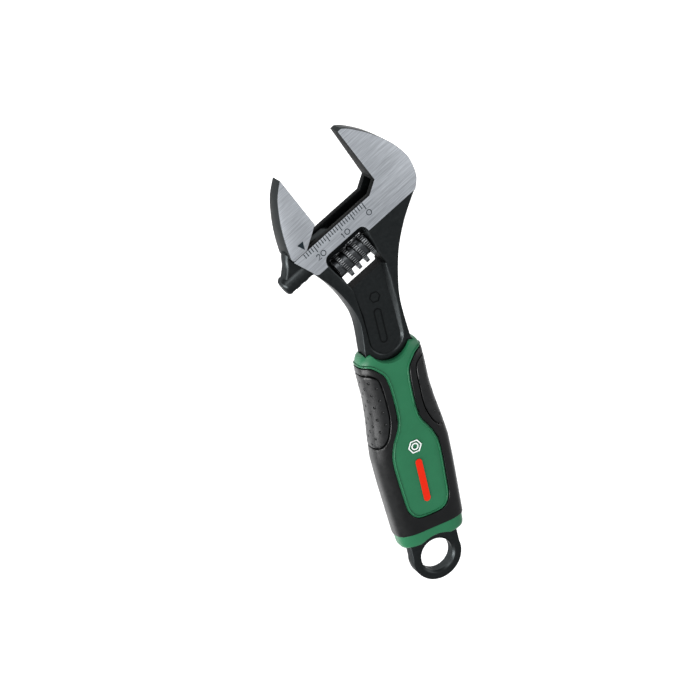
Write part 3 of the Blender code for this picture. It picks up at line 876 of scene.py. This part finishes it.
def make_neck_relief():
    """A hexagon and a plain bar, both in low relief on the floor of the neck's panel."""
    x, low, high = NECK_BAR_PLACE
    within = (x, low + NECK_LINE, high - NECK_LINE)
    bar = (round_bar((x, low, high), NECK_BAR_HALF), round_bar(within, NECK_BAR_HALF - NECK_LINE))
    nut = (hexagon(NECK_EMBLEM_PLACE, NECK_NUT), hexagon(NECK_EMBLEM_PLACE, NECK_NUT - NECK_LINE))
    relief = mark("neck_relief", [bar, nut], HANDLE, POCKET_FLOOR + NECK_RELIEF)
    return finish(relief, "frame", (RELIEF_STEEL,))


# Materials

def new_material(name, colour, metallic, roughness, **constants):
    """A Principled material, with its constants straight on the shader's sockets."""
    material = bpy.data.materials.new(name)
    material.use_nodes = True
    shader = material.node_tree.nodes["Principled BSDF"]
    settings = {"Base Color": (*colour, 1), "Metallic": metallic, "Roughness": roughness, **constants}
    for socket, value in settings.items():
        shader.inputs[socket].default_value = value
    return material


def noise(material, grain_mm, detail, stretch=(1, 1, 1), turn=0.0):
    """A noise texture over the piece, with grains of a size in millimetres, stretched along turned axes."""
    tree = material.node_tree
    place = tree.nodes.new("ShaderNodeTexCoord")
    mapping = tree.nodes.new("ShaderNodeMapping")
    mapping.vector_type = "POINT"
    mapping.inputs["Rotation"].default_value = (0, 0, -turn)
    turned = tree.nodes.new("ShaderNodeMapping")
    turned.inputs["Scale"].default_value = [1 / share for share in stretch]
    texture = tree.nodes.new("ShaderNodeTexNoise")
    texture.inputs["Scale"].default_value = 1 / (grain_mm * MM)
    texture.inputs["Detail"].default_value = detail
    texture.inputs["Roughness"].default_value = 0.68
    tree.links.new(place.outputs["Object"], mapping.inputs["Vector"])
    tree.links.new(mapping.outputs["Vector"], turned.inputs["Vector"])
    tree.links.new(turned.outputs["Vector"], texture.inputs["Vector"])
    return texture.outputs["Fac"]


def vary_colour(material, value, dark, light):
    tree = material.node_tree
    ramp = tree.nodes.new("ShaderNodeValToRGB")
    for element, place, colour in zip(ramp.color_ramp.elements, GRAIN_RANGE, (dark, light)):
        element.position = place
        element.color = (*colour, 1)
    tree.links.new(value, ramp.inputs["Fac"])
    tree.links.new(ramp.outputs["Color"], tree.nodes["Principled BSDF"].inputs["Base Color"])


def vary_roughness(material, value, low, high):
    tree = material.node_tree
    spread = tree.nodes.new("ShaderNodeMapRange")
    for socket, value_at_end in zip(("From Min", "From Max", "To Min", "To Max"), (*GRAIN_RANGE, low, high)):
        spread.inputs[socket].default_value = value_at_end
    tree.links.new(value, spread.inputs["Value"])
    tree.links.new(spread.outputs["Result"], tree.nodes["Principled BSDF"].inputs["Roughness"])


def add_bump(material, value, height_mm, strength):
    tree = material.node_tree
    bump = tree.nodes.new("ShaderNodeBump")
    bump.inputs["Distance"].default_value = height_mm * MM
    bump.inputs["Strength"].default_value = strength
    tree.links.new(value, bump.inputs["Height"])
    tree.links.new(bump.outputs["Normal"], tree.nodes["Principled BSDF"].inputs["Normal"])


def black_steel():
    """Phosphated forging: nearly black, with a fine crystalline grain and slight oily patches."""
    material = new_material("black_steel", (0.033, 0.0365, 0.0375), 1.0, 0.36, **{"Specular Tint": DULL_RIM})
    vary_colour(material, noise(material, 1.2, 4), (0.027, 0.0305, 0.0315), (0.038, 0.0418, 0.043))
    vary_roughness(material, noise(material, 6.0, 5), 0.3, 0.4)
    add_bump(material, noise(material, 0.22, 2), 0.02, 0.5)
    return material


def painted_shade_steel():
    """Painted shade: near-black walls inside the throat, the window and the bores, with hardly any shine."""
    material = new_material("painted_shade_steel", (0.0026, 0.003, 0.0032), 0.0, 0.6, **{"Specular IOR Level": 0.04})
    vary_colour(material, noise(material, 1.0, 4), (0.002, 0.0024, 0.0026), (0.0034, 0.0039, 0.0042))
    vary_roughness(material, noise(material, 4.0, 4), 0.5, 0.62)
    add_bump(material, noise(material, 0.22, 2), 0.02, 0.5)
    return material


def relief_steel():
    """The neck's low marks, a little darker than the steel round them."""
    material = new_material("relief_steel", (0.014, 0.0155, 0.016), 1.0, 0.5, **{"Specular Tint": DULL_RIM})
    vary_colour(material, noise(material, 1.0, 4), (0.012, 0.0133, 0.0138), (0.016, 0.0177, 0.0182))
    return material


def crest_highlight_steel():
    """Teeth of the worm, in lighter steel that is a painted highlight."""
    material = new_material("crest_highlight_steel", (0.42, 0.43, 0.44), 1.0, 0.34)
    vary_colour(material, noise(material, 0.6, 4), (0.32, 0.33, 0.34), (0.5, 0.51, 0.52))
    vary_roughness(material, noise(material, 0.8, 3), 0.28, 0.42)
    return material


def ground_steel():
    """Bare steel, ground along the slide of the jaw."""
    material = new_material("ground_steel", (0.5, 0.51, 0.55), 1.0, 0.42)
    lines = noise(material, 0.34, 3, (26, 1, 1), HEAD_TURN)
    vary_colour(material, lines, (0.38, 0.4, 0.43), (0.64, 0.67, 0.71))
    vary_roughness(material, noise(material, 0.3, 4, (30, 1, 1), HEAD_TURN), 0.38, 0.5)
    add_bump(material, noise(material, 0.12, 3, (60, 1, 1), HEAD_TURN), 0.004, 0.4)
    return material


def worm_steel():
    """Dark steel, turned in fine rings."""
    material = new_material("worm_steel", (0.09, 0.095, 0.1), 1.0, 0.3)
    vary_colour(material, noise(material, 0.5, 4), (0.06, 0.065, 0.07), (0.12, 0.125, 0.13))
    vary_roughness(material, noise(material, 1.5, 3), 0.24, 0.38)
    add_bump(material, noise(material, 0.1, 2, (1, 12, 12), HEAD_TURN), 0.008, 0.5)
    return material


def pin_steel():
    """Plain steel of the pin and the spring, inside the head."""
    material = new_material("pin_steel", (0.2, 0.2, 0.21), 1.0, 0.35)
    vary_colour(material, noise(material, 0.4, 3), (0.16, 0.16, 0.17), (0.26, 0.26, 0.27))
    vary_roughness(material, noise(material, 1.0, 3), 0.28, 0.45)
    return material


def green_plastic():
    """Hard moulding with a satin skin."""
    material = new_material("green_plastic", (0.017, 0.13, 0.058), 0.0, 0.3, **{"Specular IOR Level": 0.3})
    vary_colour(material, noise(material, 9.0, 4), (0.0155, 0.122, 0.054), (0.0185, 0.138, 0.062))
    vary_roughness(material, noise(material, 3.0, 4), 0.3, 0.42)
    add_bump(material, noise(material, 0.16, 2), 0.012, 0.35)
    return material


def black_rubber():
    """Soft moulding with a fine matt skin."""
    material = new_material("black_rubber", (0.004, 0.0045, 0.0048), 0.0, 0.32, **{"Specular IOR Level": 0.3})
    vary_colour(material, noise(material, 4.0, 4), (0.0022, 0.0025, 0.0028), (0.0036, 0.004, 0.0044))
    vary_roughness(material, noise(material, 2.0, 4), 0.28, 0.38)
    add_bump(material, noise(material, 0.14, 2), 0.02, 0.5)
    return material


def pad_rubber():
    """The pads' rubber, smoother than the skin's, and a little lighter as a painted sheen of the light on
    their curved sides.
    """
    material = new_material("pad_rubber", (0.007, 0.0075, 0.008), 0.0, 0.3, **{"Specular IOR Level": 0.3})
    vary_colour(material, noise(material, 3.0, 4), (0.0055, 0.006, 0.0064), (0.0085, 0.009, 0.0096))
    vary_roughness(material, noise(material, 1.5, 4), 0.26, 0.36)
    add_bump(material, noise(material, 0.12, 2), 0.012, 0.4)
    return material


def ink(name, colour, roughness):
    """Print with slightly uneven cover."""
    material = new_material(name, colour, 0.0, roughness, **{"Specular IOR Level": 0.15})
    vary_colour(material, noise(material, 0.35, 3), [c * 0.88 for c in colour], colour)
    add_bump(material, noise(material, 0.1, 2), 0.005, 0.4)
    return material


BLACK_STEEL = black_steel()
PAINTED_SHADE_STEEL = painted_shade_steel()
RELIEF_STEEL = relief_steel()
CREST_HIGHLIGHT_STEEL = crest_highlight_steel()
GROUND_STEEL = ground_steel()
WORM_STEEL = worm_steel()
PIN_STEEL = pin_steel()
GREEN_PLASTIC = green_plastic()
BLACK_RUBBER = black_rubber()
PAD_RUBBER_WITH_SHEEN = pad_rubber()
DARK_INK = ink("scale_ink", (0.008, 0.015, 0.02), 0.5)
WHITE_INK = ink("white_ink", (0.8, 0.82, 0.81), 0.45)
RED_INK = ink("red_ink", (0.66, 0.018, 0.003), 0.45)


# Studio

def make_camera():
    camera = bpy.data.objects.new("camera", bpy.data.cameras.new("camera"))
    bpy.context.scene.collection.objects.link(camera)
    camera.location = CAMERA_PLACE
    camera.rotation_euler = [math.radians(angle) for angle in CAMERA_TURN]
    camera.data.lens = CAMERA_LENS
    camera.data.sensor_width = 36
    camera.data.clip_start = 0.01
    bpy.context.scene.camera = camera


def make_floor():
    """A faintly lit floor well below the wrench, so that it reads as a plain pale ground."""
    bm = bmesh.new()
    bmesh.ops.create_grid(bm, x_segments=1, y_segments=1, size=FLOOR_HALF)
    mesh = bpy.data.meshes.new("floor")
    bm.to_mesh(mesh)
    bm.free()
    floor = bpy.data.objects.new("floor", mesh)
    floor.location.z = -FLOOR_DROP
    bpy.context.scene.collection.objects.link(floor)
    glow = {"Emission Color": (1, 1, 1, 1), "Emission Strength": FLOOR_GLOW, "Specular IOR Level": 0.0}
    mesh.materials.append(new_material("floor", (0.86, 0.86, 0.86), 0.0, 0.9, **glow))


def area_light(name, place, size, power):
    light = bpy.data.lights.new(name, "AREA")
    light.shape = "RECTANGLE"
    light.size, light.size_y = size
    light.energy = power
    obj = bpy.data.objects.new(name, light)
    bpy.context.scene.collection.objects.link(obj)
    obj.location = place
    obj.rotation_euler = (Vector(LIGHT_TARGET) - Vector(place)).to_track_quat("-Z", "Y").to_euler()


def make_lights():
    world = bpy.data.worlds.new("studio")
    world.use_nodes = True
    background = world.node_tree.nodes["Background"]
    background.inputs["Color"].default_value = SKY_COLOUR
    background.inputs["Strength"].default_value = SKY_STRENGTH
    bpy.context.scene.world = world
    area_light("left_strip", (-0.6, -0.08, 0.34), (0.14, 0.9), 7.8)
    area_light("right_softbox", (0.8, 0.1, 0.45), (0.5, 0.9), 2.5)
    area_light("top_softbox", (-0.35, 0.6, 0.8), (0.5, 0.4), 2.6)


# The wrench

def paint_inner_steel():
    """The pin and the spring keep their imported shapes."""
    for node in ("worm_pin", "worm_spring"):
        for slot in frame["nodes"][node].material_slots:
            slot.material = PIN_STEEL


def main():
    make_camera()
    make_body()
    make_movable_jaw()
    make_worm()
    paint_inner_steel()
    make_grip_core()
    make_overmould()
    make_pad("left_gripping_pad", -1, "left_pad")
    make_pad("right_gripping_pad", 1, "right_pad")
    make_scale()
    make_pointer()
    make_emblem()
    make_bar()
    make_neck_relief()
    make_floor()
    make_lights()
    bpy.context.scene.view_settings.view_transform = "Standard"


main()
